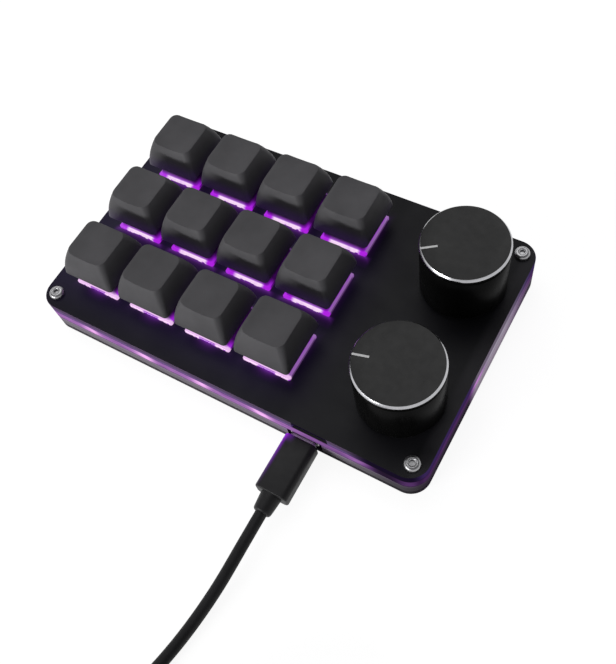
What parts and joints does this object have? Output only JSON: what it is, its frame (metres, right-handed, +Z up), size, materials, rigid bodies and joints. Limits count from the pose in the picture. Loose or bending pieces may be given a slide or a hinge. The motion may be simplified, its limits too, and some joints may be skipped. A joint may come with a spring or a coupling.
{
  "type": "macro keypad",
  "caption": "Desk macro keypad: a slim clear-framed slab with a grid of short-travel keys, push-and-turn knobs and a USB cable.",
  "frame": {"origin": "middle of the keypad, without its cable, on the surface that its feet stand on", "axes": "+X along the keypad to the knobs, +Y to the back, +Z up"},
  "size_m": [0.2177, 0.2284, 0.0355],
  "materials": {
    "black_acrylic": "satin",
    "clear_acrylic": "polished",
    "smoked_acrylic": "polished",
    "board": "solder mask",
    "cap_plastic": "fine matte",
    "clear_switch": "smooth",
    "stem_plastic": "smooth",
    "steel": "bright",
    "brass": "turned",
    "rubber": "matte",
    "knob_metal": "black anodised, bright cut bevel",
    "chip": "moulded",
    "encoder_metal": "pressed",
    "cable_sheath": "matte",
    "plug_grip": "fine matte"
  },
  "bodies": {
    "case": {"top_plate": "black_acrylic", "upper_frame": "clear_acrylic", "lower_frame": "clear_acrylic", "bottom_plate": "smoked_acrylic", "circuit_board": "board", "rubber_feet": "rubber", "corner_standoffs": "brass", "corner_screws": "steel", "switch_lower_housings": "clear_switch", "switch_upper_housings": "clear_switch", "board_chips": "chip", "encoder_housings": "encoder_metal", "usb_socket": "steel", "plug_shells": "steel", "plug_bodies": "plug_grip", "cable_lead": "cable_sheath", "cable_coil": "cable_sheath", "cable_tail": "cable_sheath", "switch_spring_1_1": "steel", "switch_spring_1_2": "steel", "switch_spring_1_3": "steel", "switch_spring_1_4": "steel", "switch_spring_2_1": "steel", "switch_spring_2_2": "steel", "switch_spring_2_3": "steel", "switch_spring_2_4": "steel", "switch_spring_3_1": "steel", "switch_spring_3_2": "steel", "switch_spring_3_3": "steel", "switch_spring_3_4": "steel"},
    "key_1_1": {"keycap_1_1": "cap_plastic", "switch_stem_1_1": "stem_plastic"},
    "key_1_2": {"keycap_1_2": "cap_plastic", "switch_stem_1_2": "stem_plastic"},
    "key_1_3": {"keycap_1_3": "cap_plastic", "switch_stem_1_3": "stem_plastic"},
    "key_1_4": {"keycap_1_4": "cap_plastic", "switch_stem_1_4": "stem_plastic"},
    "key_2_1": {"keycap_2_1": "cap_plastic", "switch_stem_2_1": "stem_plastic"},
    "key_2_2": {"keycap_2_2": "cap_plastic", "switch_stem_2_2": "stem_plastic"},
    "key_2_3": {"keycap_2_3": "cap_plastic", "switch_stem_2_3": "stem_plastic"},
    "key_2_4": {"keycap_2_4": "cap_plastic", "switch_stem_2_4": "stem_plastic"},
    "key_3_1": {"keycap_3_1": "cap_plastic", "switch_stem_3_1": "stem_plastic"},
    "key_3_2": {"keycap_3_2": "cap_plastic", "switch_stem_3_2": "stem_plastic"},
    "key_3_3": {"keycap_3_3": "cap_plastic", "switch_stem_3_3": "stem_plastic"},
    "key_3_4": {"keycap_3_4": "cap_plastic", "switch_stem_3_4": "stem_plastic"},
    "front_turn": {"front_encoder_rotor": "stem_plastic"},
    "front_push": {"front_encoder_shaft": "encoder_metal", "front_knob": "knob_metal"},
    "back_turn": {"back_encoder_rotor": "stem_plastic"},
    "back_push": {"back_encoder_shaft": "encoder_metal", "back_knob": "knob_metal"}
  },
  "joints": [
    {"name": "key_1_1_press", "type": "slide", "parent": "case", "child": "key_1_1", "axis": [0, 0, -1], "range_m": [0, 0.004], "stiffness_N_per_m": 75, "springref_m": -0.004, "deforming": ["switch_spring_1_1"]},
    {"name": "key_1_2_press", "type": "slide", "parent": "case", "child": "key_1_2", "axis": [0, 0, -1], "range_m": [0, 0.004], "stiffness_N_per_m": 75, "springref_m": -0.004, "deforming": ["switch_spring_1_2"]},
    {"name": "key_1_3_press", "type": "slide", "parent": "case", "child": "key_1_3", "axis": [0, 0, -1], "range_m": [0, 0.004], "stiffness_N_per_m": 75, "springref_m": -0.004, "deforming": ["switch_spring_1_3"]},
    {"name": "key_1_4_press", "type": "slide", "parent": "case", "child": "key_1_4", "axis": [0, 0, -1], "range_m": [0, 0.004], "stiffness_N_per_m": 75, "springref_m": -0.004, "deforming": ["switch_spring_1_4"]},
    {"name": "key_2_1_press", "type": "slide", "parent": "case", "child": "key_2_1", "axis": [0, 0, -1], "range_m": [0, 0.004], "stiffness_N_per_m": 75, "springref_m": -0.004, "deforming": ["switch_spring_2_1"]},
    {"name": "key_2_2_press", "type": "slide", "parent": "case", "child": "key_2_2", "axis": [0, 0, -1], "range_m": [0, 0.004], "stiffness_N_per_m": 75, "springref_m": -0.004, "deforming": ["switch_spring_2_2"]},
    {"name": "key_2_3_press", "type": "slide", "parent": "case", "child": "key_2_3", "axis": [0, 0, -1], "range_m": [0, 0.004], "stiffness_N_per_m": 75, "springref_m": -0.004, "deforming": ["switch_spring_2_3"]},
    {"name": "key_2_4_press", "type": "slide", "parent": "case", "child": "key_2_4", "axis": [0, 0, -1], "range_m": [0, 0.004], "stiffness_N_per_m": 75, "springref_m": -0.004, "deforming": ["switch_spring_2_4"]},
    {"name": "key_3_1_press", "type": "slide", "parent": "case", "child": "key_3_1", "axis": [0, 0, -1], "range_m": [0, 0.004], "stiffness_N_per_m": 75, "springref_m": -0.004, "deforming": ["switch_spring_3_1"]},
    {"name": "key_3_2_press", "type": "slide", "parent": "case", "child": "key_3_2", "axis": [0, 0, -1], "range_m": [0, 0.004], "stiffness_N_per_m": 75, "springref_m": -0.004, "deforming": ["switch_spring_3_2"]},
    {"name": "key_3_3_press", "type": "slide", "parent": "case", "child": "key_3_3", "axis": [0, 0, -1], "range_m": [0, 0.004], "stiffness_N_per_m": 75, "springref_m": -0.004, "deforming": ["switch_spring_3_3"]},
    {"name": "key_3_4_press", "type": "slide", "parent": "case", "child": "key_3_4", "axis": [0, 0, -1], "range_m": [0, 0.004], "stiffness_N_per_m": 75, "springref_m": -0.004, "deforming": ["switch_spring_3_4"]},
    {"name": "front_knob_turn", "type": "hinge", "parent": "case", "child": "front_turn", "pos_m": [0.0492, -0.02, 0], "axis": [0, 0, 1], "continuous": true},
    {"name": "front_knob_push", "type": "slide", "parent": "front_turn", "child": "front_push", "axis": [0, 0, -1], "range_m": [0, 0.0005], "stiffness_N_per_m": 2000, "springref_m": -0.001},
    {"name": "back_knob_turn", "type": "hinge", "parent": "case", "child": "back_turn", "pos_m": [0.0492, 0.0194, 0], "axis": [0, 0, 1], "continuous": true},
    {"name": "back_knob_push", "type": "slide", "parent": "back_turn", "child": "back_push", "axis": [0, 0, -1], "range_m": [0, 0.0005], "stiffness_N_per_m": 2000, "springref_m": -0.001}
  ]
}
